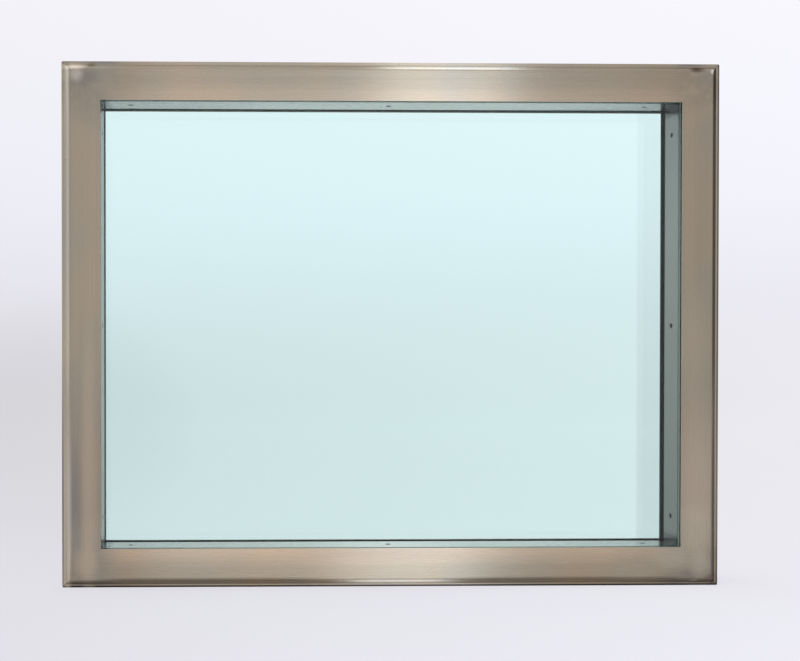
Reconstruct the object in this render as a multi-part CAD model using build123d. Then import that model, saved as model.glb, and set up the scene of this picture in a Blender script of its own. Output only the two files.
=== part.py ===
from build123d import *
import math
import os

# Flush-mount double-glazed window: a folded stainless face frame on each side of a wall,
# a casing between them, and two panes held apart by a hollow spacer frame.
# X is the width, Y the depth with the front towards -Y, Z is up. Sizes in millimetres.
# Y = 0 is the rear of the front flange, where the window bears on the wall.

# Driving dimensions
OVERALL_WIDTH = 914.4
OVERALL_HEIGHT = 727.0
WALL_THICKNESS = 95.0

# Face frame, folded from sheet
SHEET = 1.5
FACE_FLAT = 43.5
SLOPE_WIDTH = 6.0
FLANGE_WIDTH = 4.5
STAND_OFF = 8.5
BEND_RADIUS = 1.5
DEBURR_RADIUS = 0.5
CORNER_RADIUS = 2.5

# Panes and what holds them
GASKET_THICKNESS = 6.0
GASKET_WIDTH = 12.0
GASKET_SETBACK = 0.5
GASKET_RADIUS = 1.5
GROOVE_RADIUS = 0.9
GROOVE_PITCH = 3.0
GROOVE_COUNT = 3
GLASS_THICKNESS = 6.0
GLASS_BITE = 18.0
GLASS_ARRIS = 0.8
SEAL_THICKNESS = 8.0
SEAL_WIDTH = 10.0
SEAL_SETBACK = 1.5

# Spacer frame
SPACER_SETBACK = 1.0
SPACER_HEIGHT = 14.0
SPACER_WALL = 1.5
SPACER_RADIUS = 2.0
BREATHER_DIAMETER = 6.0
BREATHER_FROM_CORNER = 38.5

# Casing between the two face frames
GLASS_CLEARANCE = 4.0
CASING_SHEET = 1.5
CASING_FLANGE = 12.0

# Places worked out from the sizes above
FRAME_WIDTH = FACE_FLAT + SLOPE_WIDTH + FLANGE_WIDTH
OPENING_WIDTH = OVERALL_WIDTH - 2 * FRAME_WIDTH
OPENING_HEIGHT = OVERALL_HEIGHT - 2 * FRAME_WIDTH
BOTTOM = -FLANGE_WIDTH / 2
MIDDLE_HEIGHT = BOTTOM + OVERALL_HEIGHT / 2
FACE_Y = -STAND_OFF
MIDDLE_Y = WALL_THICKNESS / 2
SHEET_BACK_Y = FACE_Y + SHEET
GLASS_Y = SHEET_BACK_Y + GASKET_THICKNESS
SEAL_Y = GLASS_Y + GLASS_THICKNESS
SPACER_Y = SEAL_Y + SEAL_THICKNESS

# Each side of the opening: its outward direction and the length of that edge
SIDES = {
    "bottom": (Vector(0, 0, -1), OPENING_WIDTH),
    "top": (Vector(0, 0, 1), OPENING_WIDTH),
    "left": (Vector(-1, 0, 0), OPENING_HEIGHT),
    "right": (Vector(1, 0, 0), OPENING_HEIGHT),
}
MEMBER = {"bottom": "bottom_rail", "top": "top_rail", "left": "left_stile", "right": "right_stile"}


def mirrored(profile):
    # The same profile on the other side of the wall.
    return [(out, 2 * MIDDLE_Y - y) for out, y in profile]


def side_plane(side):
    # Drawing plane at the middle of one opening edge: x runs outwards and y into the wall.
    out, _ = SIDES[side]
    across = OPENING_WIDTH if abs(out.X) > 0.5 else OPENING_HEIGHT
    origin = Vector(0, 0, MIDDLE_HEIGHT) + out * (across / 2)
    return Plane(origin=origin, x_dir=out, z_dir=out.cross(Vector(0, 1, 0)))


def mitre_block(side, reach):
    # The wedge between the two mitre planes at the ends of one side.
    out, edge = SIDES[side]
    plane = side_plane(side)
    depth = WALL_THICKNESS + 4 * STAND_OFF
    front = Plane(origin=plane.origin - Vector(0, 2 * STAND_OFF, 0), x_dir=plane.z_dir, z_dir=Vector(0, 1, 0))
    outward = 1 if front.y_dir.dot(out) > 0 else -1
    corners = [
        (-edge / 2 + reach, -reach * outward),
        (edge / 2 - reach, -reach * outward),
        (edge / 2 + reach, reach * outward),
        (-edge / 2 - reach, reach * outward),
    ]
    return extrude(front * make_face(Polyline(*corners, close=True)), amount=depth)


def mitred_side(face, side):
    # Extrude a profile along one side and mitre both ends.
    _, edge = SIDES[side]
    reach = 2 * FRAME_WIDTH
    bar = extrude(side_plane(side) * face, amount=edge / 2 + reach, both=True)
    return bar & mitre_block(side, reach)


def rounded(face, corners, radius):
    # Round the named corners of a profile.
    for corner in corners:
        near = face.vertices().sort_by_distance(Vector(*corner))[0]
        face = fillet(near, radius)
    return face


def face_profile():
    # Folded sheet: lip over the glass, flat face, slope down to the wall, and a narrow flange on the wall.
    slope = math.atan2(STAND_OFF - SHEET, SLOPE_WIDTH)
    setback = SHEET * math.tan(slope / 2)
    foot = FACE_FLAT + SLOPE_WIDTH
    return [
        (0, FACE_Y),
        (FACE_FLAT, FACE_Y),
        (foot, -SHEET),
        (FRAME_WIDTH, -SHEET),
        (FRAME_WIDTH, 0),
        (foot - setback, 0),
        (FACE_FLAT - setback, SHEET_BACK_Y),
        (0, SHEET_BACK_Y),
    ]


def face_member(side, back):
    profile = face_profile()
    if back:
        profile = mirrored(profile)
    face = make_face(Polyline(*profile, close=True))
    crease, inner_foot, edge_front, edge_back, outer_foot, inner_crease = profile[1:7]
    face = rounded(face, [crease, outer_foot], BEND_RADIUS + SHEET)
    face = rounded(face, [inner_crease, inner_foot], BEND_RADIUS)
    face = rounded(face, [edge_front, edge_back], DEBURR_RADIUS)
    ground_outline = Plane(origin=(0, -2 * STAND_OFF, MIDDLE_HEIGHT), x_dir=(1, 0, 0), z_dir=(0, 1, 0)) * (
        RectangleRounded(OVERALL_WIDTH, OVERALL_HEIGHT, CORNER_RADIUS)
    )
    return mitred_side(face, side) & extrude(ground_outline, amount=WALL_THICKNESS + 4 * STAND_OFF)


def casing_member(side):
    # Channel whose web stands clear of the glass edge, with a flange behind each face plate.
    web = GLASS_BITE + GLASS_CLEARANCE
    far_y = 2 * MIDDLE_Y - SHEET_BACK_Y
    profile = [
        (web, SHEET_BACK_Y),
        (web + CASING_FLANGE, SHEET_BACK_Y),
        (web + CASING_FLANGE, SHEET_BACK_Y + CASING_SHEET),
        (web + CASING_SHEET, SHEET_BACK_Y + CASING_SHEET),
        (web + CASING_SHEET, far_y - CASING_SHEET),
        (web + CASING_FLANGE, far_y - CASING_SHEET),
        (web + CASING_FLANGE, far_y),
        (web, far_y),
    ]
    face = make_face(Polyline(*profile, close=True))
    face = rounded(face, [profile[0], profile[7]], BEND_RADIUS + CASING_SHEET)
    face = rounded(face, [profile[3], profile[4]], BEND_RADIUS)
    return mitred_side(face, side)


def gasket(side, back):
    # Extruded strip with a rounded nose towards the opening and grooves in both bearing faces.
    near_y = SHEET_BACK_Y
    far_y = GLASS_Y
    nose = [(GASKET_SETBACK, near_y), (GASKET_SETBACK, far_y)]
    middle = (GASKET_SETBACK + GASKET_WIDTH / 2, (near_y + far_y) / 2)
    strip = rounded(Pos(*middle) * Rectangle(GASKET_WIDTH, GASKET_THICKNESS), nose, GASKET_RADIUS)
    for step in range(GROOVE_COUNT):
        out = middle[0] + GROOVE_PITCH * (step - (GROOVE_COUNT - 1) / 2)
        for y in (near_y, far_y):
            strip -= Pos(out, y) * Circle(GROOVE_RADIUS)
    if back:
        strip = Pos(0, 2 * MIDDLE_Y) * mirror(strip, about=Plane.XZ)
    return mitred_side(strip, side)


def spacer(side):
    # Hollow box section with a row of breather holes through its inner wall.
    _, edge = SIDES[side]
    depth = 2 * (MIDDLE_Y - SPACER_Y)
    centre = (SPACER_SETBACK + SPACER_HEIGHT / 2, MIDDLE_Y)
    outer = RectangleRounded(SPACER_HEIGHT, depth, SPACER_RADIUS)
    hollow = RectangleRounded(
        SPACER_HEIGHT - 2 * SPACER_WALL, depth - 2 * SPACER_WALL, SPACER_RADIUS - SPACER_WALL
    )
    tube = mitred_side(Pos(*centre) * (outer - hollow), side)
    plane = side_plane(side)
    end_hole = edge / 2 - BREATHER_FROM_CORNER
    for along in (-end_hole, 0, end_hole):
        start = plane.origin + plane.z_dir * along
        start = Vector(start.X, MIDDLE_Y, start.Z)
        drill = Plane(origin=start, z_dir=plane.x_dir)
        tube -= extrude(drill * Circle(BREATHER_DIAMETER / 2), amount=SPACER_SETBACK + SPACER_HEIGHT / 2)
    return tube


def pane(back):
    # Toughened glass with every edge ground to a small arris.
    width = OPENING_WIDTH + 2 * GLASS_BITE
    height = OPENING_HEIGHT + 2 * GLASS_BITE
    front_y = 2 * MIDDLE_Y - GLASS_Y - GLASS_THICKNESS if back else GLASS_Y
    centre = Vector(0, front_y + GLASS_THICKNESS / 2, MIDDLE_HEIGHT)
    sheet = Box(width, GLASS_THICKNESS, height)
    return Pos(*centre) * chamfer(sheet.edges(), GLASS_ARRIS)


def seal(back):
    # One continuous strip round the edge, between a pane and the spacer frame.
    front_y = 2 * MIDDLE_Y - SEAL_Y - SEAL_THICKNESS if back else SEAL_Y
    centre = Pos(0, front_y + SEAL_THICKNESS / 2, MIDDLE_HEIGHT)
    inner = Box(OPENING_WIDTH + 2 * SEAL_SETBACK, 2 * SEAL_THICKNESS, OPENING_HEIGHT + 2 * SEAL_SETBACK)
    reach = 2 * (SEAL_SETBACK + SEAL_WIDTH)
    return centre * (Box(OPENING_WIDTH + reach, SEAL_THICKNESS, OPENING_HEIGHT + reach) - inner)


def all_parts():
    parts = {}
    for end, back in (("front", False), ("back", True)):
        for side, member in MEMBER.items():
            parts[f"{end}_{member}"] = face_member(side, back)
            parts[f"{end}_gasket_{side}"] = gasket(side, back)
        parts[f"{end}_glass"] = pane(back)
        parts[f"{end}_seal"] = seal(back)
    for side in SIDES:
        parts[f"casing_{side}"] = casing_member(side)
        parts[f"spacer_{side}"] = spacer(side)
    return parts


os.makedirs("parts", exist_ok=True)
for name, shape in all_parts().items():
    export_step(shape, f"parts/{name}.step")
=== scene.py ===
import math

import bpy
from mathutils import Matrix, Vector


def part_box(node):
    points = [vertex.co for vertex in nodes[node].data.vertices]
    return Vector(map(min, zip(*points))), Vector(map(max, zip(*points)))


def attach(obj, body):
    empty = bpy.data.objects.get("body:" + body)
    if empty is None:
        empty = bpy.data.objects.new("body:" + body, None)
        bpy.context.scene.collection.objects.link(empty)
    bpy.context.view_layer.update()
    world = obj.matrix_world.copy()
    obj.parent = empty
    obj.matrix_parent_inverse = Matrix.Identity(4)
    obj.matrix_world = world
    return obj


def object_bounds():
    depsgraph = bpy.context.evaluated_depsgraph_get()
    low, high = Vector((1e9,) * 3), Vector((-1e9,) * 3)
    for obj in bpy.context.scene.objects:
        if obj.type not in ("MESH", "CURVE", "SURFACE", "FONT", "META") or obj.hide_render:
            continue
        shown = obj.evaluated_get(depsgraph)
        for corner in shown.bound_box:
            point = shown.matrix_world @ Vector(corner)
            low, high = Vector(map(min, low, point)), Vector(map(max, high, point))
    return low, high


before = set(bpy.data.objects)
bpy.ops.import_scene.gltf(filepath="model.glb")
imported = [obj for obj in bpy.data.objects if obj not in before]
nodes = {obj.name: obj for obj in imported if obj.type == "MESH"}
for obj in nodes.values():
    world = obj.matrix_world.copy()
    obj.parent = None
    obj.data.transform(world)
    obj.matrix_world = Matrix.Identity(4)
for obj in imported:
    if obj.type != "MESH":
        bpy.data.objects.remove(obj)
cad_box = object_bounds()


# Camera: the photographer stood left of the window's middle, square to it, with the lens shifted,
# so that the uprights stay nearly parallel and the right side of the opening shows.
CAMERA_PLACE = (-0.2452, -2.1978, 0.3242)
CAMERA_YAW = math.radians(1.562)
CAMERA_PITCH = math.radians(-0.834)
scene = bpy.context.scene
camera_data = bpy.data.cameras.new("view_camera")
camera_data.lens = 71.32
camera_data.sensor_width = 36.0
camera_data.shift_x = 0.1768
camera_data.shift_y = 0.0554
camera = bpy.data.objects.new("view_camera", camera_data)
camera.location = CAMERA_PLACE
camera.rotation_euler = (math.pi / 2 + CAMERA_PITCH, 0.0, -CAMERA_YAW)
scene.collection.objects.link(camera)
scene.camera = camera
scene.view_settings.view_transform = "Standard"


# Studio sweep: a pale paper background that curves round the window, brighter overhead and right.
# Metal also sees a brighter wall on its left, a black card on its right and a plain room in front.
SWEEP_HEIGHTS = [
    # height of the view's direction, and the tone of the paper there
    (-0.30, (0.850, 0.840, 0.910)),
    (-0.16, (0.832, 0.820, 0.893)),
    (-0.08, (0.772, 0.772, 0.815)),
    (-0.02, (0.718, 0.712, 0.748)),
    (0.04, (0.808, 0.800, 0.866)),
    (0.10, (0.868, 0.868, 0.937)),
    (0.22, (0.915, 0.908, 0.958)),
]
SWEEP_BEND = (-0.02, 0.05)
SWEEP_SIDE_SLOPE = (0.31, 0.115)
DARKEST_SIDE = 0.90
BRIGHTEST_SIDE = 1.12
GLASS_VIEW_GAIN = 1.06
# a painted soft shadow on the paper, a little left of and below the middle, and how much it darkens
PAPER_SHADOW_SPOT = (-0.095, 1.0, -0.05)
PAPER_SHADOW_ANGLES = (1, 5.5)
PAPER_SHADOW_LOSS = 0.055
ROOM_FRONT = (0.80, 0.79, 0.78)
ROOM_BACK = (0.95, 0.95, 0.97)
ROOM_FRONT_TO_BACK = (-0.4, 0.6)
ROOM_SIDE_SLOPE = -0.42
BRIGHT_WALL = (-0.97, 0.24, 0.0)
BRIGHT_WALL_ANGLES = (25, 60)
BRIGHT_WALL_GAIN = 0.32
BLACK_CARD = (0.907, 0.42, 0.0)
BLACK_CARD_ANGLES = (30, 58)
BLACK_CARD_LEVEL = 0.10


def add_node(tree, kind, **settings):
    node = tree.nodes.new(kind)
    for name, value in settings.items():
        setattr(node, name, value)
    return node


def feed(tree, socket, value):
    # A number or a colour goes on the socket itself, and anything else is a link.
    if isinstance(value, (int, float)):
        socket.default_value = value
    elif isinstance(value, tuple):
        socket.default_value = (*value, 1.0) if len(socket.default_value) == 4 else value
    else:
        tree.links.new(value, socket)


def arithmetic(tree, operation, *values):
    node = add_node(tree, "ShaderNodeMath", operation=operation)
    for socket, value in zip(node.inputs, values):
        feed(tree, socket, value)
    return node.outputs[0]


def product(tree, first, *others):
    result = first
    for factor in others:
        result = arithmetic(tree, "MULTIPLY", result, factor)
    return result


def one_plus(tree, share, change):
    # 1 where the share is 0, and 1 + change where it is 1
    return arithmetic(tree, "MULTIPLY_ADD", share, change, 1.0)


def smooth_range(tree, value, low, high, to_low=0.0, to_high=1.0):
    node = add_node(tree, "ShaderNodeMapRange", interpolation_type="SMOOTHSTEP")
    for socket, number in zip(node.inputs, (value, low, high, to_low, to_high)):
        feed(tree, socket, number)
    return node.outputs[0]


def mixed(tree, factor, first, second, blend="MIX"):
    node = add_node(tree, "ShaderNodeMix", data_type="RGBA", blend_type=blend)
    for socket, value in zip((node.inputs[0], node.inputs[6], node.inputs[7]), (factor, first, second)):
        feed(tree, socket, value)
    return node.outputs[2]


def scaled(tree, colour, level):
    node = add_node(tree, "ShaderNodeVectorMath", operation="SCALE")
    feed(tree, node.inputs[0], colour)
    feed(tree, node.inputs["Scale"], level)
    return node.outputs[0]


def axes_of(tree, vector):
    # the vector's three numbers: across, in depth and up
    node = add_node(tree, "ShaderNodeSeparateXYZ")
    tree.links.new(vector, node.inputs[0])
    return node.outputs["X"], node.outputs["Y"], node.outputs["Z"]


def towards(tree, direction, aim, near, far):
    # 1 inside the angle near round the direction aim, fading to 0 at the angle far
    node = add_node(tree, "ShaderNodeVectorMath", operation="DOT_PRODUCT")
    feed(tree, node.inputs[0], direction)
    feed(tree, node.inputs[1], tuple(Vector(aim).normalized()))
    far_cosine = math.cos(math.radians(far))
    near_cosine = math.cos(math.radians(near))
    return smooth_range(tree, node.outputs["Value"], far_cosine, near_cosine)


def seen_by_lens_or_glass(tree):
    path = add_node(tree, "ShaderNodeLightPath")
    return arithmetic(tree, "MAXIMUM", path.outputs["Is Camera Ray"], path.outputs["Is Transmission Ray"])


world = bpy.data.worlds.new("studio_sweep")
scene.world = world
world.use_nodes = True
sky = world.node_tree
sky.nodes.clear()
direction = add_node(sky, "ShaderNodeTexCoord").outputs["Generated"]
across, depth, height = axes_of(sky, direction)

# the paper, as the lens sees it past the window and through the glass
lowest, highest = SWEEP_HEIGHTS[0][0], SWEEP_HEIGHTS[-1][0]
paper_tone = add_node(sky, "ShaderNodeValToRGB")
paper_tone.color_ramp.interpolation = "B_SPLINE"
while len(paper_tone.color_ramp.elements) < len(SWEEP_HEIGHTS):
    paper_tone.color_ramp.elements.new(0.5)
for element, (stop_height, stop_colour) in zip(paper_tone.color_ramp.elements, SWEEP_HEIGHTS):
    element.position = (stop_height - lowest) / (highest - lowest)
    element.color = (*stop_colour, 1.0)
height_share = add_node(sky, "ShaderNodeMapRange")
for socket, value in zip(height_share.inputs, (height, lowest, highest)):
    feed(sky, socket, value)
sky.links.new(height_share.outputs[0], paper_tone.inputs["Fac"])
side_slope = smooth_range(sky, height, *SWEEP_BEND, *SWEEP_SIDE_SLOPE)
side_level = arithmetic(sky, "MAXIMUM", one_plus(sky, across, side_slope), DARKEST_SIDE)
side_level = arithmetic(sky, "MINIMUM", side_level, BRIGHTEST_SIDE)
# the painted soft shadow on the paper
cloud = one_plus(sky, towards(sky, direction, PAPER_SHADOW_SPOT, *PAPER_SHADOW_ANGLES), -PAPER_SHADOW_LOSS)
through_glass = add_node(sky, "ShaderNodeLightPath").outputs["Is Transmission Ray"]
glass_gain = one_plus(sky, through_glass, GLASS_VIEW_GAIN - 1.0)
sweep = scaled(sky, paper_tone.outputs["Color"], product(sky, side_level, cloud, glass_gain))

# the room, which lights the window and shows in the metal
room_tone = mixed(sky, smooth_range(sky, depth, *ROOM_FRONT_TO_BACK), ROOM_FRONT, ROOM_BACK)
wall_share = towards(sky, direction, BRIGHT_WALL, *BRIGHT_WALL_ANGLES)
card_share = towards(sky, direction, BLACK_CARD, *BLACK_CARD_ANGLES)
room_level = product(
    sky,
    one_plus(sky, wall_share, BRIGHT_WALL_GAIN),
    one_plus(sky, card_share, BLACK_CARD_LEVEL - 1.0),
    one_plus(sky, across, ROOM_SIDE_SLOPE),
)
room = scaled(sky, room_tone, room_level)
background = add_node(sky, "ShaderNodeBackground")
feed(sky, background.inputs["Color"], mixed(sky, seen_by_lens_or_glass(sky), room, sweep))
sky.links.new(background.outputs[0], add_node(sky, "ShaderNodeOutputWorld").inputs["Surface"])


# Floor: the near part of the same paper, flat under the window and without an end in sight.
# The lens sees mostly the sweep's own tone there, with a share of the real light and shadow on it.
FLOOR_REACH = 12.0
FLOOR_SHADE_SHARE = 0.22
FLOOR_SHADE_FADE = (0.8, 5.0)
FLOOR_PAPER = (0.80, 0.79, 0.81)
FIBRE_SCALE = 900.0
FIBRE_TONE = 0.985


def object_place(tree):
    return add_node(tree, "ShaderNodeTexCoord").outputs["Object"]


def scaled_colour(colour, factor):
    return tuple(value * factor for value in colour)


def blended_shader(tree, factor, first, second):
    node = add_node(tree, "ShaderNodeMixShader")
    for socket, value in zip(node.inputs, (factor, first, second)):
        feed(tree, socket, value)
    return node.outputs[0]


floor_level = cad_box[0][2]
floor_corners = []
for side, end in ((-1, -1), (1, -1), (1, 1), (-1, 1)):
    floor_corners.append((side * FLOOR_REACH, end * FLOOR_REACH, floor_level))
floor_mesh = bpy.data.meshes.new("studio_floor")
floor_mesh.from_pydata(floor_corners, [], [(0, 1, 2, 3)])
floor = bpy.data.objects.new("studio_floor", floor_mesh)
scene.collection.objects.link(floor)
paper = bpy.data.materials.new("sweep_paper")
paper.use_nodes = True
tree = paper.node_tree
tree.nodes.clear()
place = object_place(tree)
lit = add_node(tree, "ShaderNodeBsdfDiffuse")
fibres = add_node(tree, "ShaderNodeTexNoise")
fibres.inputs["Scale"].default_value = FIBRE_SCALE
tree.links.new(place, fibres.inputs["Vector"])
fibre_tone = mixed(tree, fibres.outputs[0], scaled_colour(FLOOR_PAPER, FIBRE_TONE), FLOOR_PAPER)
feed(tree, lit.inputs["Color"], fibre_tone)
clear = add_node(tree, "ShaderNodeBsdfTransparent")
distance = add_node(tree, "ShaderNodeVectorMath", operation="LENGTH")
tree.links.new(place, distance.inputs[0])
clear_share = smooth_range(tree, distance.outputs["Value"], *FLOOR_SHADE_FADE, 1.0 - FLOOR_SHADE_SHARE, 1.0)
clear_share = product(tree, seen_by_lens_or_glass(tree), clear_share)
surface = blended_shader(tree, clear_share, lit.outputs[0], clear.outputs[0])
tree.links.new(surface, add_node(tree, "ShaderNodeOutputMaterial").inputs["Surface"])
floor_mesh.materials.append(paper)


# Face frames: 1.5 mm stainless sheet with a lip over the glass, stepped down to a flange on the wall.
# The members are mitred, welded and ground flush, and brushed along their length.
MM = 0.001
# one steel, painted lighter on the rails than on the stiles for the light that falls on them, and one tone
# at the corners
RAIL_STEEL = (0.480, 0.395, 0.302)
STILE_STEEL = (0.410, 0.345, 0.268)
CORNER_STEEL = (0.405, 0.340, 0.268)
# painted highlights on the lips and on the whole bottom rail
RAIL_LIP_HIGHLIGHT = (1.36, 1.27, 1.22)
STILE_LIP_HIGHLIGHT = (1.04, 1.03, 1.03)
TOP_LIP_HIGHLIGHT_SHARE = 0.6
BOTTOM_RAIL_HIGHLIGHT = (1.12, 1.08, 1.05)
COOL_TONE = (0.93, 0.985, 1.04)
STEEL_ROUGHNESS = 0.27
ROUGHNESS_SPREAD = 0.06
HAIR_DEPTH = 0.015 * MM
BUMP_STRENGTH = 0.3
FACE_FLAT = 43.5 * MM
FRAME_WIDTH = 54 * MM
GLASS_BITE = 18 * MM

# waves in a metre along and across the grain, and how much they change the tone
HAIR_LINES = (5.0, 1500.0)
HAIR_CONTRAST = 0.08
BRUSH_BANDS = (1.6, 210.0)
BAND_CONTRAST = 0.12
DRIFT_SCALE = 9.0
DRIFT_SPAN = (0.38, 0.62)
CORNER_CLOUD_SCALE = 45.0
CORNER_CLOUD_SPAN = (0.35, 0.65)
CORNER_CLOUD_LEVELS = (0.86, 1.02)

# where each look starts and where it is full, as a distance out from the lip
LIP_SPAN = (30 * MM, 2 * MM)
FOLD_START_SPAN = (FACE_FLAT - 4.2 * MM, FACE_FLAT - 1.8 * MM)
FOLD_END_SPAN = (FACE_FLAT + 2.6 * MM, FACE_FLAT + 0.8 * MM)
FLANGE_SPAN = (FACE_FLAT + 4 * MM, FACE_FLAT + 6 * MM)
CUT_EDGE_SPAN = (FRAME_WIDTH - 3.0 * MM, FRAME_WIDTH - 1.8 * MM)
SEAM_LOSS_SPAN = (FACE_FLAT - 4 * MM, FACE_FLAT)

# the same along the member, as a distance past the end of the opening
CORNER_TONE_SPAN = (-120 * MM, 10 * MM)
CORNER_PATCH_SPAN = (-30 * MM, 25 * MM)
BEFORE_CORNER_SPAN = (18 * MM, -40 * MM)
GRAIN_TURN_START = -60 * MM
SEAM_SPAN = (0.9 * MM, 0.2 * MM)

# from the middle, the left turns into the right and the bottom into the top within this distance
MIDDLE_BAND = 0.1
# painted light and shade on the flanges
RAIL_FLANGE_LIGHT = (0.92, 1.05)
STILE_FLANGE_LIGHT = 1.18
STREAK_END = (0.05, 0.16)
# painted shade in the fold along the bottom
FOLD_SHADE = 0.36
# painted shade on the cut edge below and on the right
BOTTOM_EDGE_SHADE = 0.88
RIGHT_EDGE_SHADE = 0.6
SEAM_LOSS = (0.06, 0.5)

# weld marks and stains, and painted highlights and shade, kept to the front frame by their depth
MARK_DEPTH = -6 * MM
MARK_HALF_DEPTH = 12 * MM
SPOT_FADE = (1.25, 0.2)
STEEL_MARKS_AND_PAINTED_LIGHT = [
    # place across and up, half size across and up in mm, colour, strength, all as seen from the front
    ((-424, 702), (24, 14), (0.27, 0.25, 0.23), 0.85),
    ((-436, 706), (11, 12), (0.62, 0.56, 0.51), 0.7),
    ((-400, 723), (34, 3), (0.24, 0.25, 0.24), 0.7),
    ((418, 723), (26, 3), (0.22, 0.23, 0.23), 0.8),
    # the next one is a painted highlight on the top slope at the top left
    ((-441, 717), (20, 5), (0.90, 0.78, 0.66), 0.95),
    ((-416, 719), (7, 4), (0.22, 0.20, 0.10), 0.9),
    ((425, 716), (13, 5), (0.09, 0.050, 0.030), 1.0),
    ((440, 706), (22, 16), (0.33, 0.31, 0.27), 0.6),
    ((446, 713), (4, 4), (0.95, 0.88, 0.80), 0.9),
    ((444, 10), (8, 5), (0.24, 0.16, 0.15), 0.85),
    ((423, 5), (7, 2), (0.85, 0.80, 0.74), 0.8),
    ((415, 14), (11, 8), (0.28, 0.25, 0.23), 0.75),
    ((430, 30), (16, 22), (0.66, 0.60, 0.53), 0.7),
    # from here on, painted light and shade on the stiles along their height, with a painted highlight low
    # on the left slope and painted shade on the outer edges
    ((-420, 150), (13, 220), (0.52, 0.43, 0.335), 0.9),
    ((418, 335), (30, 95), (0.45, 0.388, 0.305), 0.9),
    ((-440, 120), (12, 100), (0.30, 0.28, 0.265), 0.85),
    ((-424, 32), (20, 24), (0.54, 0.44, 0.34), 0.7),
    ((-450, 520), (7, 300), (0.29, 0.275, 0.25), 0.9),
    ((-450, 110), (7, 170), (0.68, 0.61, 0.52), 0.95),
    ((-457, 110), (2.8, 190), (0.16, 0.155, 0.15), 0.9),
    ((426, 130), (36, 150), (0.57, 0.48, 0.38), 0.78),
    ((424, 70), (32, 44), (0.66, 0.58, 0.47), 0.65),
    ((449.3, 110), (4.2, 220), (0.12, 0.11, 0.095), 0.95),
    # from here on, painted highlights on the bottom rail, the spread of the lamps' streak
    ((390, 38), (34, 24), (0.62, 0.55, 0.45), 0.75),
    ((345, 20), (60, 16), (0.54, 0.47, 0.37), 0.6),
    ((-5, 44), (150, 14), (0.57, 0.44, 0.34), 0.9),
]
low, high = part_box("front_glass")
lip_half_width = (high[0] - low[0]) / 2 - GLASS_BITE
lip_half_height = (high[2] - low[2]) / 2 - GLASS_BITE
middle_height = (low[2] + high[2]) / 2


def principled(name):
    material = bpy.data.materials.new(name)
    material.use_nodes = True
    tree = material.node_tree
    return material, tree, tree.nodes["Principled BSDF"]


def stretched_noise(tree, place, scale, detail=2.0):
    mapping = add_node(tree, "ShaderNodeMapping")
    tree.links.new(place, mapping.inputs["Vector"])
    mapping.inputs["Scale"].default_value = scale
    noise = add_node(tree, "ShaderNodeTexNoise")
    noise.inputs["Scale"].default_value = 1.0
    noise.inputs["Detail"].default_value = detail
    tree.links.new(mapping.outputs[0], noise.inputs["Vector"])
    return noise.outputs[0]


def even_noise(tree, place, scale, detail=2.0):
    return stretched_noise(tree, place, (scale, scale, scale), detail)


def grain_scale(along, fine_along, fine_across):
    # along is the axis of the grain: 0 for X, 1 for Y, 2 for Z
    return [fine_along if axis == along else fine_across for axis in range(3)]


def around_one(tree, pattern, contrast):
    # a level that swings round 1 with the pattern
    return arithmetic(tree, "MULTIPLY_ADD", pattern, contrast, 1.0 - contrast / 2)


def less(tree, level, loss):
    return product(tree, level, arithmetic(tree, "SUBTRACT", 1.0, loss))


def past(tree, position, half_length):
    # how far a place lies past the end of a length that is centred on 0
    return arithmetic(tree, "SUBTRACT", arithmetic(tree, "ABSOLUTE", position), half_length)


def rough_and_bumped(tree, shader, pattern, roughness, spread, height):
    rough = arithmetic(tree, "MULTIPLY_ADD", pattern, spread, roughness - spread / 2)
    feed(tree, shader.inputs["Roughness"], rough)
    bump = add_node(tree, "ShaderNodeBump")
    bump.inputs["Strength"].default_value = BUMP_STRENGTH
    bump.inputs["Distance"].default_value = height
    tree.links.new(pattern, bump.inputs["Height"])
    tree.links.new(bump.outputs[0], shader.inputs["Normal"])


def soft_spot(tree, place, centre, half_size):
    # 1 in the middle of an ellipsoid, fading to 0 a little outside it
    mapping = add_node(tree, "ShaderNodeMapping", vector_type="TEXTURE")
    tree.links.new(place, mapping.inputs["Vector"])
    mapping.inputs["Location"].default_value = centre
    mapping.inputs["Scale"].default_value = half_size
    length = add_node(tree, "ShaderNodeVectorMath", operation="LENGTH")
    tree.links.new(mapping.outputs[0], length.inputs[0])
    return smooth_range(tree, length.outputs["Value"], *SPOT_FADE)


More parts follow.
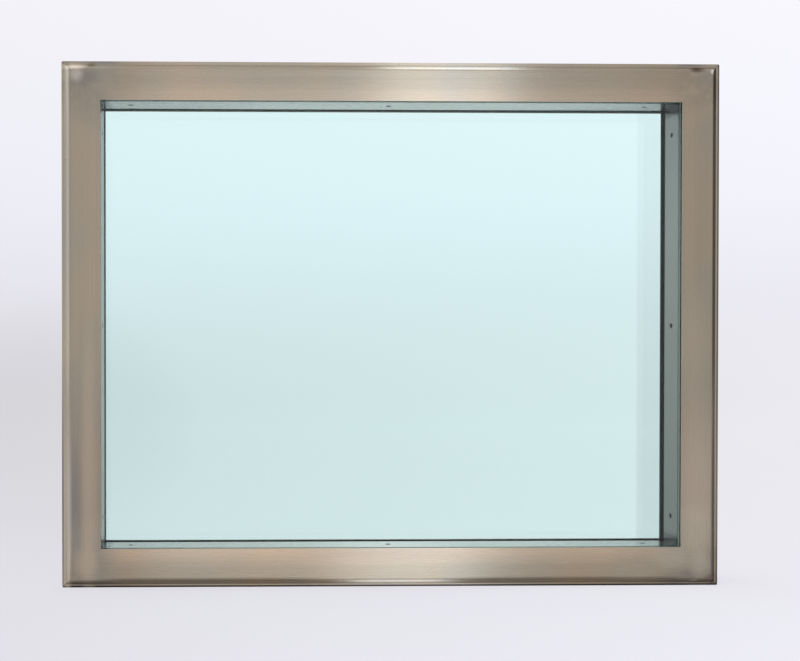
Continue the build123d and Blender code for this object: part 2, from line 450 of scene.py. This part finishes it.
def brushed_steel(name, along, colour, lip_highlight):
    is_rail = along == 0
    material, tree, shader = principled(name)
    shader.inputs["Metallic"].default_value = 1.0
    shader.inputs["Anisotropic"].default_value = 1.0
    place = object_place(tree)
    across, _, height = axes_of(tree, place)
    up = arithmetic(tree, "SUBTRACT", height, middle_height)
    beyond_side = past(tree, across, lip_half_width)
    beyond_top = past(tree, up, lip_half_height)
    from_lip, past_end = (beyond_top, beyond_side) if is_rail else (beyond_side, beyond_top)

    # brushing: hair lines, wider bands, and a slow drift from warm to cool
    hair = stretched_noise(tree, place, grain_scale(along, *HAIR_LINES), 3.0)
    band = stretched_noise(tree, place, grain_scale(along, *BRUSH_BANDS))
    drift = even_noise(tree, place, DRIFT_SCALE, 1.0)
    # the painted rail and stile tones meet in one tone near the corners
    near_corner = smooth_range(tree, past_end, *CORNER_TONE_SPAN)
    tone = mixed(tree, near_corner, colour, CORNER_STEEL)
    tone = mixed(tree, smooth_range(tree, drift, *DRIFT_SPAN), tone, COOL_TONE, "MULTIPLY")
    level = product(tree, around_one(tree, band, BAND_CONTRAST), around_one(tree, hair, HAIR_CONTRAST))

    # painted highlight: the lip is painted brighter, more so along the bottom, and so is the whole bottom
    # rail
    lip_highlight_share = smooth_range(tree, from_lip, *LIP_SPAN)
    if is_rail:
        before_corner = smooth_range(tree, past_end, *BEFORE_CORNER_SPAN)
        lip_by_height = smooth_range(tree, up, MIDDLE_BAND, -MIDDLE_BAND, TOP_LIP_HIGHLIGHT_SHARE, 1.0)
        lip_highlight_share = product(tree, lip_highlight_share, lip_by_height, before_corner)
        below = product(tree, smooth_range(tree, up, MIDDLE_BAND, -MIDDLE_BAND), before_corner)
        tone = mixed(tree, below, tone, BOTTOM_RAIL_HIGHLIGHT, "MULTIPLY")
    tone = mixed(tree, lip_highlight_share, tone, lip_highlight, "MULTIPLY")

    # painted light and shade: the flange is painted brighter on the stiles, a little brighter on top and
    # darker below
    flange_light = STILE_FLANGE_LIGHT
    if is_rail:
        flange_light = smooth_range(tree, up, -MIDDLE_BAND, MIDDLE_BAND, *RAIL_FLANGE_LIGHT)
    flange_light_level = smooth_range(tree, from_lip, *FLANGE_SPAN, 1.0, flange_light)
    level = product(tree, level, flange_light_level)

    # painted shade: the fold into the slope is darkened along the bottom, except in the streak of the lamps
    if is_rail:
        fold_start = smooth_range(tree, from_lip, *FOLD_START_SPAN)
        fold_end = smooth_range(tree, from_lip, *FOLD_END_SPAN)
        off_streak = smooth_range(tree, arithmetic(tree, "ABSOLUTE", across), *STREAK_END, 0.0, FOLD_SHADE)
        level = less(tree, level, product(tree, fold_start, fold_end, below, off_streak))

    # painted shade: the cut edge of the flange is darkened below and on the right
    at_edge = smooth_range(tree, from_lip, *CUT_EDGE_SPAN)
    if is_rail:
        edge_shade = smooth_range(tree, up, MIDDLE_BAND, -MIDDLE_BAND, 0.0, BOTTOM_EDGE_SHADE)
    else:
        edge_shade = smooth_range(tree, across, -MIDDLE_BAND, MIDDLE_BAND, 0.0, RIGHT_EDGE_SHADE)
    level = less(tree, level, product(tree, at_edge, edge_shade))

    # ground corners: a darker cloudy patch, and a hairline where the slopes meet
    corner = smooth_range(tree, past_end, *CORNER_PATCH_SPAN)
    cloud = even_noise(tree, place, CORNER_CLOUD_SCALE)
    cloud = smooth_range(tree, cloud, *CORNER_CLOUD_SPAN, *CORNER_CLOUD_LEVELS)
    level = product(tree, level, mixed(tree, corner, (1.0, 1.0, 1.0), cloud))
    off_mitre = arithmetic(tree, "ABSOLUTE", arithmetic(tree, "SUBTRACT", beyond_side, beyond_top))
    seam = smooth_range(tree, off_mitre, *SEAM_SPAN)
    seam_loss = smooth_range(tree, from_lip, *SEAM_LOSS_SPAN, *SEAM_LOSS)
    level = less(tree, level, product(tree, seam, seam_loss))
    tone = scaled(tree, tone, level)

    # the marks, stains and painted light alike, lie over all of that
    for (mark_across, mark_up), (half_across, half_up), mark_colour, strength in STEEL_MARKS_AND_PAINTED_LIGHT:
        centre = (mark_across * MM, MARK_DEPTH, mark_up * MM)
        spot = soft_spot(tree, place, centre, (half_across * MM, MARK_HALF_DEPTH, half_up * MM))
        tone = mixed(tree, product(tree, spot, strength), tone, mark_colour)
    feed(tree, shader.inputs["Base Color"], tone)
    rough_and_bumped(tree, shader, hair, STEEL_ROUGHNESS, ROUGHNESS_SPREAD, HAIR_DEPTH)

    # the grain turns from one member to the next through the corner
    turn = smooth_range(tree, past_end, GRAIN_TURN_START, from_lip)
    hand = arithmetic(tree, "SIGN", product(tree, across, up))
    swing = product(tree, turn, hand, -1.0)
    across_grain = add_node(tree, "ShaderNodeCombineXYZ")
    feed(tree, across_grain.inputs[2 if is_rail else 0], 1.0)
    feed(tree, across_grain.inputs[0 if is_rail else 2], swing)
    tree.links.new(across_grain.outputs[0], shader.inputs["Tangent"])
    return material


def finish_node(name, material):
    nodes[name].material_slots[0].material = material


rail_steel = brushed_steel("brushed_rail", 0, RAIL_STEEL, RAIL_LIP_HIGHLIGHT)
stile_steel = brushed_steel("brushed_stile", 2, STILE_STEEL, STILE_LIP_HIGHLIGHT)
for end in ("front", "back"):
    for rail in ("bottom_rail", "top_rail"):
        finish_node(f"{end}_{rail}", rail_steel)
    for stile in ("left_stile", "right_stile"):
        finish_node(f"{end}_{stile}", stile_steel)


# Strip lamps: soft boxes in front, overhead and below, which draw one bright streak across the rails.
# They light the rails alone, so the glass and the paper don't show them. Two stand below the floor.
LAMP_COLOUR = (0.66, 0.82, 1.0)
STRIP_LAMPS = {
    # name: place, turn about X in degrees, width, length, radiance
    "high_lamp": ((0.51, -3.0, 1.0), 90, 0.42, 1.0, 2.65),
    "low_lamp": ((0.38, -3.0, -0.6), 90, 0.46, 0.6, 2.4),
    "wide_lamp": ((0.04, -3.0, 0.22), 90, 1.0, 0.40, 1.7),
    "top_lamp": ((0.38, 0.6, 2.7), 0, 0.35, 1.6, 3.7),
    "under_lamp": ((0.25, 0.6, -2.0), 180, 0.26, 1.6, 2.8),
}
lit_steel = bpy.data.collections.new("lit_steel")
for name, node in nodes.items():
    if name.endswith("_rail"):
        lit_steel.objects.link(node)
for name, (lamp_place, turn, width, length, radiance) in STRIP_LAMPS.items():
    lamp_data = bpy.data.lights.new(name, "AREA")
    lamp_data.shape = "RECTANGLE"
    lamp_data.size = width
    lamp_data.size_y = length
    lamp_data.energy = radiance * math.pi * width * length
    lamp_data.color = LAMP_COLOUR
    lamp = bpy.data.objects.new(name, lamp_data)
    lamp.location = lamp_place
    lamp.rotation_euler = (math.radians(turn), 0.0, 0.0)
    lamp.visible_camera = False
    lamp.visible_transmission = False
    lamp.light_linking.receiver_collection = lit_steel
    lamp.light_linking.blocker_collection = lit_steel
    scene.collection.objects.link(lamp)


# Gaskets: extruded black rubber strips, pressed between the lip of the face frame and the pane.
# Eight strips, cut to a mitre, go round the two panes. Three of them are painted light grey for the light
# that falls on them.
RUBBER = (0.008, 0.009, 0.009)
# painted light: a light grey for the three gaskets that catch the light
LIT_GREY_RUBBER = (0.13, 0.14, 0.13)
LIT_GREY_GASKETS = ("front_gasket_top", "back_gasket_top", "back_gasket_left")
RUBBER_SHEEN = 0.03
RUBBER_SPECK_SCALE = 600.0
RUBBER_SPECK_HEIGHT = 0.08 * MM
DARK_SPECK = 0.7
PALE_SPECK = 1.3
RUBBER_ROUGHNESS_SPREAD = 0.15


def matt_rubber(name, colour, roughness):
    material, tree, shader = principled(name)
    shader.inputs["Specular IOR Level"].default_value = RUBBER_SHEEN
    specks = even_noise(tree, object_place(tree), RUBBER_SPECK_SCALE, 3.0)
    tone = mixed(tree, specks, scaled_colour(colour, DARK_SPECK), scaled_colour(colour, PALE_SPECK))
    feed(tree, shader.inputs["Base Color"], tone)
    rough_and_bumped(tree, shader, specks, roughness, RUBBER_ROUGHNESS_SPREAD, RUBBER_SPECK_HEIGHT)
    return material


gasket_rubber = matt_rubber("gasket_rubber", RUBBER, 0.7)
for end in ("front", "back"):
    for side in ("bottom", "top", "left", "right"):
        finish_node(f"{end}_gasket_{side}", gasket_rubber)
# painted light on the gaskets that catch it
lit_grey_rubber = matt_rubber("lit_grey_rubber", LIT_GREY_RUBBER, 0.8)
for name in LIT_GREY_GASKETS:
    finish_node(name, lit_grey_rubber)


# Panes: 6 mm toughened float glass with ground edges and a faint blue-green tint.
# Each is held between a gasket and the seal strip of the spacer frame. The back one is darker in a narrow
# strip along its right edge, most towards the bottom.
GLASS_TINT = (0.876, 0.990, 0.967)
GLASS_SHADOW = 0.92
GLASS_MIRRORING = (0.5, 0.5, 0.5)
DARK_STRIP_TONE = 0.87
DARK_STRIP_ACROSS = (0.364, 0.370)
DARK_STRIP_UP = (0.70, 0.10)
DARK_STRIP_SHARE_UP = (0.4, 1.0)
BACK_PANE_DEPTH = (0.04, 0.05)
WIPE_SCALE = (4.0, 4.0, 26.0)
WIPE_SPAN = (0.5, 0.8)
WIPE_ROUGHNESS = 0.03
pane_glass, tree, shader = principled("pane_glass")
shader.inputs["IOR"].default_value = 1.52
shader.inputs["Transmission Weight"].default_value = 1.0
feed(tree, shader.inputs["Specular Tint"], GLASS_MIRRORING)
place = object_place(tree)
across, depth, height = axes_of(tree, place)
dark_strip = product(
    tree,
    smooth_range(tree, across, *DARK_STRIP_ACROSS),
    smooth_range(tree, height, *DARK_STRIP_UP, *DARK_STRIP_SHARE_UP),
    smooth_range(tree, depth, *BACK_PANE_DEPTH),
)
dark_strip_tint = scaled_colour(GLASS_TINT, DARK_STRIP_TONE)
feed(tree, shader.inputs["Base Color"], mixed(tree, dark_strip, GLASS_TINT, dark_strip_tint))
wiped = stretched_noise(tree, place, WIPE_SCALE, 2.0)
feed(tree, shader.inputs["Roughness"], smooth_range(tree, wiped, *WIPE_SPAN, 0.0, WIPE_ROUGHNESS))
clear = add_node(tree, "ShaderNodeBsdfTransparent")
feed(tree, clear.inputs["Color"], scaled_colour(GLASS_TINT, GLASS_SHADOW))
shadow_ray = add_node(tree, "ShaderNodeLightPath").outputs["Is Shadow Ray"]
surface = blended_shader(tree, shadow_ray, shader.outputs[0], clear.outputs[0])
tree.links.new(surface, tree.nodes["Material Output"].inputs["Surface"])
for end in ("front", "back"):
    finish_node(f"{end}_glass", pane_glass)


# Seal strips: a soft strip laid round the edge of each pane, which the spacer frame is pressed on.
# Both are one strip, painted grey in front where light falls on it and black behind where it is shaded.
# painted light and shade: the same seal as lit in front and shaded behind
LIT_SEAL_GREY = (0.38, 0.39, 0.37)
finish_node("front_seal", matt_rubber("lit_grey_seal", LIT_SEAL_GREY, 0.7))
finish_node("back_seal", matt_rubber("shaded_black_seal", RUBBER, 0.8))


# Spacer frame: roll-formed hollow aluminium, mitred at the corners, with round breather holes.
# It is satin and fairly mirror-like along its length, with painted shade towards the corners.
# the same aluminium, painted much lighter on the bottom and top than on the sides for the light that falls
# on them
SPACER_RAIL = (0.515, 0.485, 0.435)
SPACER_STILE = (0.275, 0.252, 0.222)
# painted pools of lamp light and painted shade on the bottom and top ones, and a painted shadow line along
# the back edge of the top one on the right
SPACER_PAINTED_LIGHT = [
    # place and half size across, in depth and up in mm, colour, strength, all on the bottom and top ones
    ((5, 47, 51), (110, 90, 30), (0.72, 0.65, 0.60), 1.0),
    ((-215, 47, 51), (90, 90, 30), (0.485, 0.42, 0.375), 1.0),
    ((340, 47, 51), (120, 90, 30), (0.50, 0.455, 0.40), 0.8),
    ((390, 47, 672), (110, 90, 30), (0.42, 0.395, 0.35), 0.9),
    ((-390, 47, 672), (110, 90, 30), (0.59, 0.56, 0.48), 0.8),
    ((330, 84, 672), (180, 16, 30), (0.06, 0.06, 0.055), 0.95),
]
SPACER_SETBACK = 1.0 * MM
HOLE_FROM_CORNER = 38.5 * MM
WALL_MIDDLE = 47.5 * MM
DRAW_LINES = (8.0, 900.0)
DRAW_LINE_CONTRAST = 0.08
DRAW_LINE_HEIGHT = 0.01 * MM
SPACER_ROUGHNESS_SPREAD = 0.08
# painted shade towards the ends starts at this share of the half length
CORNER_SHADE_FROM = 0.35
# painted shade at the mitred ends
END_SHADE_START = 16 * MM
END_SHADE_FULL = 8 * MM
END_SHADE_LEVEL = 0.4
# painted shadow round the breather holes
HOLE_SHADOW_RING = (3.3 * MM, 4.6 * MM)
HOLE_SHADOW_DEPTH_SHARE = 0.5
HOLE_SHADOW_LEVEL = 0.12

# the inside of the section, past its inner wall, before its outer one and between its two sides
INNER_WALL_SPAN = (0.1 * MM, 0.4 * MM)
OUTER_WALL_SPAN = (13.6 * MM, 13.2 * MM)
SIDE_WALL_SPAN = (34.0 * MM, 33.4 * MM)
# painted shade inside the section
INSIDE_SHADE = 0.92


def satin_aluminium(name, along, colour, roughness, half_length, end_shade_level, painted_spots):
    material, tree, shader = principled(name)
    shader.inputs["Metallic"].default_value = 1.0
    shader.inputs["Anisotropic"].default_value = 0.4
    place = object_place(tree)
    across, depth, height = axes_of(tree, place)
    up = arithmetic(tree, "SUBTRACT", height, middle_height)
    if along == 0:
        position, other, other_half = across, up, lip_half_height
    else:
        position, other, other_half = up, across, lip_half_width
    from_middle = arithmetic(tree, "ABSOLUTE", position)
    draw_lines = stretched_noise(tree, place, grain_scale(along, *DRAW_LINES), 3.0)
    # painted shade: darker towards the ends
    corner_shade = smooth_range(tree, from_middle, half_length * CORNER_SHADE_FROM, half_length, 1.0, end_shade_level)
    level = product(tree, around_one(tree, draw_lines, DRAW_LINE_CONTRAST), corner_shade)

    # painted shade: the mitred ends are darkened
    shade_start = half_length - END_SHADE_START
    shade_full = half_length - END_SHADE_FULL
    end_shade = smooth_range(tree, from_middle, shade_start, shade_full, 1.0, END_SHADE_LEVEL)
    level = product(tree, level, end_shade)

    # each breather hole has a painted shadow round its rim, drawn out in depth
    off_middle = arithmetic(tree, "ABSOLUTE", arithmetic(tree, "SUBTRACT", depth, WALL_MIDDLE))
    in_depth = arithmetic(tree, "POWER", product(tree, off_middle, HOLE_SHADOW_DEPTH_SHARE), 2.0)
    for hole_place in (0.0, half_length - HOLE_FROM_CORNER):
        along_row = arithmetic(tree, "ABSOLUTE", arithmetic(tree, "SUBTRACT", from_middle, hole_place))
        from_hole = arithmetic(tree, "ADD", arithmetic(tree, "POWER", along_row, 2.0), in_depth)
        hole_shadow = smooth_range(tree, arithmetic(tree, "SQRT", from_hole), *HOLE_SHADOW_RING, HOLE_SHADOW_LEVEL, 1.0)
        level = product(tree, level, hole_shadow)

    # painted shade: the inside of the box section is darkened
    beyond = past(tree, other, other_half + SPACER_SETBACK)
    inside = product(
        tree,
        smooth_range(tree, beyond, *INNER_WALL_SPAN),
        smooth_range(tree, beyond, *OUTER_WALL_SPAN),
        smooth_range(tree, off_middle, *SIDE_WALL_SPAN),
    )
    level = product(tree, level, one_plus(tree, inside, -INSIDE_SHADE))
    tone = colour
    # the painted pools of light and shade lie over that
    for centre, half_size, painted_colour, strength in painted_spots:
        spot = soft_spot(tree, place, scaled_colour(centre, MM), scaled_colour(half_size, MM))
        tone = mixed(tree, product(tree, spot, strength), tone, painted_colour)
    feed(tree, shader.inputs["Base Color"], scaled(tree, tone, level))
    rough_and_bumped(tree, shader, draw_lines, roughness, SPACER_ROUGHNESS_SPREAD, DRAW_LINE_HEIGHT)
    across_grain = add_node(tree, "ShaderNodeCombineXYZ")
    feed(tree, across_grain.inputs[1], 1.0)
    tree.links.new(across_grain.outputs[0], shader.inputs["Tangent"])
    return material


spacer_rail = satin_aluminium("spacer_rail", 0, SPACER_RAIL, 0.26, lip_half_width, 0.6, SPACER_PAINTED_LIGHT)
spacer_stile = satin_aluminium("spacer_stile", 2, SPACER_STILE, 0.30, lip_half_height, 0.75, [])
for side in ("bottom", "top"):
    finish_node(f"spacer_{side}", spacer_rail)
for side in ("left", "right"):
    finish_node(f"spacer_{side}", spacer_stile)


# Casing: folded steel channels that line the cut-out in the wall, left in mill finish.
# The four channels are mitred and welded to each other at the corners.
CASING_METAL = (0.62, 0.615, 0.60)
ROLLED_LINES = (12.0, 260.0)
ROLLED_CONTRAST = 0.30
ROLLED_HEIGHT = 0.03 * MM
BLOTCH_SCALE = 18.0
BLOTCH_SPAN = (0.3, 0.7)
BLOTCH_LEVELS = (0.90, 1.04)
MILL_ROUGHNESS = 0.42
MILL_ROUGHNESS_SPREAD = 0.14


def mill_steel(name, along):
    material, tree, shader = principled(name)
    shader.inputs["Metallic"].default_value = 1.0
    place = object_place(tree)
    rolled = stretched_noise(tree, place, grain_scale(along, *ROLLED_LINES), 4.0)
    blotch = even_noise(tree, place, BLOTCH_SCALE, 4.0)
    blotch = smooth_range(tree, blotch, *BLOTCH_SPAN, *BLOTCH_LEVELS)
    level = product(tree, blotch, around_one(tree, rolled, ROLLED_CONTRAST))
    feed(tree, shader.inputs["Base Color"], scaled(tree, CASING_METAL, level))
    rough_and_bumped(tree, shader, rolled, MILL_ROUGHNESS, MILL_ROUGHNESS_SPREAD, ROLLED_HEIGHT)
    return material


casing_rail = mill_steel("casing_rail", 0)
casing_stile = mill_steel("casing_stile", 2)
for side in ("bottom", "top"):
    finish_node(f"casing_{side}", casing_rail)
for side in ("left", "right"):
    finish_node(f"casing_{side}", casing_stile)


# Corner welds: a rippled bead of weld metal down the outside of each mitred corner of the casing.
# Each ripple is one flattened drop, and the drops overlap along the seam.
SHEET_BACK = -7.0 * MM
CASING_SHEET = 1.5 * MM
WEB_OUTSIDE = 23.5 * MM
SEAM_SINK = 0.5 * MM
SEAM_START = 1.6 * MM
BURNT_METAL = (0.20, 0.17, 0.16)
BARE_METAL = (0.46, 0.42, 0.37)
HEAT_SCALE = (160.0, 60.0, 160.0)
WELD_GRIT_SCALE = 1800.0
WELD_GRIT_HEIGHT = 0.05 * MM
WELD_ROUGHNESS = 0.45
WELD_ROUGHNESS_SPREAD = 0.3
weld_metal, tree, shader = principled("weld_metal")
shader.inputs["Metallic"].default_value = 1.0
place = object_place(tree)
heat = stretched_noise(tree, place, HEAT_SCALE, 3.0)
feed(tree, shader.inputs["Base Color"], mixed(tree, heat, BURNT_METAL, BARE_METAL))
grit = even_noise(tree, place, WELD_GRIT_SCALE)
rough_and_bumped(tree, shader, grit, WELD_ROUGHNESS, WELD_ROUGHNESS_SPREAD, WELD_GRIT_HEIGHT)


def opened_tree(name, inputs, result):
    # A new tree with the named inputs and one result, and the outputs that give its inputs.
    group = bpy.data.node_groups.new(name, "GeometryNodeTree")
    for socket_name, socket_type in inputs:
        group.interface.new_socket(name=socket_name, in_out="INPUT", socket_type=socket_type)
    group.interface.new_socket(name=result, in_out="OUTPUT", socket_type="NodeSocketGeometry")
    return group, add_node(group, "NodeGroupInput").outputs


def unit_ball(group):
    ball = add_node(group, "GeometryNodeMeshIcoSphere")
    ball.inputs["Radius"].default_value = 1.0
    ball.inputs["Subdivisions"].default_value = 2
    return ball.outputs["Mesh"]


def copies_on_points(group, points, shape, size, material, result):
    # One copy of the shape on each point, made a plain mesh and painted, as the tree's result.
    copies = add_node(group, "GeometryNodeInstanceOnPoints")
    group.links.new(points, copies.inputs["Points"])
    group.links.new(shape, copies.inputs["Instance"])
    group.links.new(size, copies.inputs["Scale"])
    solid = add_node(group, "GeometryNodeRealizeInstances")
    group.links.new(copies.outputs["Instances"], solid.inputs["Geometry"])
    painted = add_node(group, "GeometryNodeSetMaterial")
    group.links.new(solid.outputs["Geometry"], painted.inputs["Geometry"])
    group.links.new(material, painted.inputs["Material"])
    group.links.new(painted.outputs["Geometry"], add_node(group, "NodeGroupOutput").inputs[result])


def drop_row_tree():
    # Flattened drops strung along the edges of the piece at an even spacing.
    inputs = [
        ("Edges", "NodeSocketGeometry"),
        ("Spacing", "NodeSocketFloat"),
        ("Half Size", "NodeSocketVector"),
        ("Unevenness", "NodeSocketFloat"),
        ("Seed", "NodeSocketInt"),
        ("Material", "NodeSocketMaterial"),
    ]
    group, given = opened_tree("drop_row", inputs, "Drops")
    curve = add_node(group, "GeometryNodeMeshToCurve")
    group.links.new(given["Edges"], curve.inputs["Mesh"])
    steps = add_node(group, "GeometryNodeResampleCurve", mode="LENGTH")
    group.links.new(curve.outputs["Curve"], steps.inputs["Curve"])
    group.links.new(given["Spacing"], steps.inputs["Length"])
    smooth = add_node(group, "GeometryNodeSetShadeSmooth")
    group.links.new(unit_ball(group), smooth.inputs["Geometry"])
    uneven = add_node(group, "FunctionNodeRandomValue", data_type="FLOAT")
    group.links.new(arithmetic(group, "SUBTRACT", 1.0, given["Unevenness"]), uneven.inputs[2])
    group.links.new(arithmetic(group, "ADD", 1.0, given["Unevenness"]), uneven.inputs[3])
    group.links.new(given["Seed"], uneven.inputs["Seed"])
    size = scaled(group, given["Half Size"], uneven.outputs[1])
    drop = smooth.outputs["Geometry"]
    copies_on_points(group, steps.outputs["Curve"], drop, size, given["Material"], "Drops")
    return group


def grown_piece(name, points, edges, faces, group, values):
    # A plain mesh of what the tree makes from the given points, edges and faces.
    guide = bpy.data.meshes.new(name)
    guide.from_pydata(points, edges, faces)
    piece = bpy.data.objects.new(name, guide)
    scene.collection.objects.link(piece)
    modifier = piece.modifiers.new(name, "NODES")
    modifier.node_group = group
    for item in group.interface.items_tree:
        if item.in_out == "INPUT" and item.name in values:
            modifier[item.identifier] = values[item.name]
    depsgraph = bpy.context.evaluated_depsgraph_get()
    mesh = bpy.data.meshes.new_from_object(piece.evaluated_get(depsgraph), depsgraph=depsgraph)
    piece.modifiers.remove(modifier)
    piece.data = mesh
    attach(piece, "root")


drop_row = drop_row_tree()
seam_half_width = lip_half_width + WEB_OUTSIDE - SEAM_SINK
seam_half_height = lip_half_height + WEB_OUTSIDE - SEAM_SINK
seam_front = SHEET_BACK + CASING_SHEET + SEAM_START
seam_back = 2 * WALL_MIDDLE - seam_front
points = []
edges = []
for side in (-1, 1):
    for end in (-1, 1):
        for seam_depth in (seam_front, seam_back):
            points.append((side * seam_half_width, seam_depth, middle_height + end * seam_half_height))
        edges.append((len(points) - 2, len(points) - 1))
weld_values = {
    "Spacing": 1.3 * MM,
    "Half Size": (2.3 * MM, 1.5 * MM, 2.3 * MM),
    "Unevenness": 0.12,
    "Seed": 3,
    "Material": weld_metal,
}
grown_piece("casing_corner_welds", points, edges, [], drop_row, weld_values)


# Spot welds: the round press marks that hold the casing's flanges to the face sheets.
# They run in one row round each flange, about 60 mm apart.
ROW_FROM_LIP = 29 * MM
row_half_width = lip_half_width + ROW_FROM_LIP
row_half_height = lip_half_height + ROW_FROM_LIP
row_front = SHEET_BACK + CASING_SHEET
row_back = 2 * WALL_MIDDLE - SHEET_BACK - CASING_SHEET
points = []
edges = []
for row_depth in (row_front, row_back):
    first = len(points)
    for side, end in ((-1, -1), (1, -1), (1, 1), (-1, 1)):
        points.append((side * row_half_width, row_depth, middle_height + end * row_half_height))
    edges += [(first, first + 1), (first + 1, first + 2), (first + 2, first + 3), (first + 3, first)]
spot_values = {
    "Spacing": 60 * MM,
    "Half Size": (2.6 * MM, 0.35 * MM, 2.6 * MM),
    "Unevenness": 0.06,
    "Seed": 5,
    "Material": weld_metal,
}
grown_piece("casing_spot_welds", points, edges, [], drop_row, spot_values)


# Specks: crumbs of rubber and lint, left low down on the front pane after fitting.
# Their places come from the seed, spread over one strip of the glass.
GLASS_FRONT = -1.0 * MM
STRIP_HALF_WIDTH = 0.38
STRIP_BOTTOM = 0.060
STRIP_TOP = 0.100


def scatter_tree():
    # Small uneven crumbs spread over the faces of the piece.
    inputs = [
        ("Faces", "NodeSocketGeometry"),
        ("Density", "NodeSocketFloat"),
        ("Smallest", "NodeSocketVector"),
        ("Largest", "NodeSocketVector"),
        ("Seed", "NodeSocketInt"),
        ("Material", "NodeSocketMaterial"),
    ]
    group, given = opened_tree("crumb_scatter", inputs, "Crumbs")
    spread = add_node(group, "GeometryNodeDistributePointsOnFaces")
    group.links.new(given["Faces"], spread.inputs["Mesh"])
    group.links.new(given["Density"], spread.inputs["Density"])
    group.links.new(given["Seed"], spread.inputs["Seed"])
    size = add_node(group, "FunctionNodeRandomValue", data_type="FLOAT_VECTOR")
    group.links.new(given["Smallest"], size.inputs[0])
    group.links.new(given["Largest"], size.inputs[1])
    group.links.new(given["Seed"], size.inputs["Seed"])
    crumb_places = spread.outputs["Points"]
    copies_on_points(group, crumb_places, unit_ball(group), size.outputs[0], given["Material"], "Crumbs")
    return group


strip_points = [
    (-STRIP_HALF_WIDTH, GLASS_FRONT, STRIP_BOTTOM),
    (STRIP_HALF_WIDTH, GLASS_FRONT, STRIP_BOTTOM),
    (STRIP_HALF_WIDTH, GLASS_FRONT, STRIP_TOP),
    (-STRIP_HALF_WIDTH, GLASS_FRONT, STRIP_TOP),
]
speck_values = {
    "Density": 360.0,
    "Smallest": (0.25 * MM, 0.10 * MM, 0.20 * MM),
    "Largest": (0.75 * MM, 0.30 * MM, 0.55 * MM),
    "Seed": 11,
    "Material": gasket_rubber,
}
grown_piece("glass_specks", strip_points, [], [(0, 1, 2, 3)], scatter_tree(), speck_values)
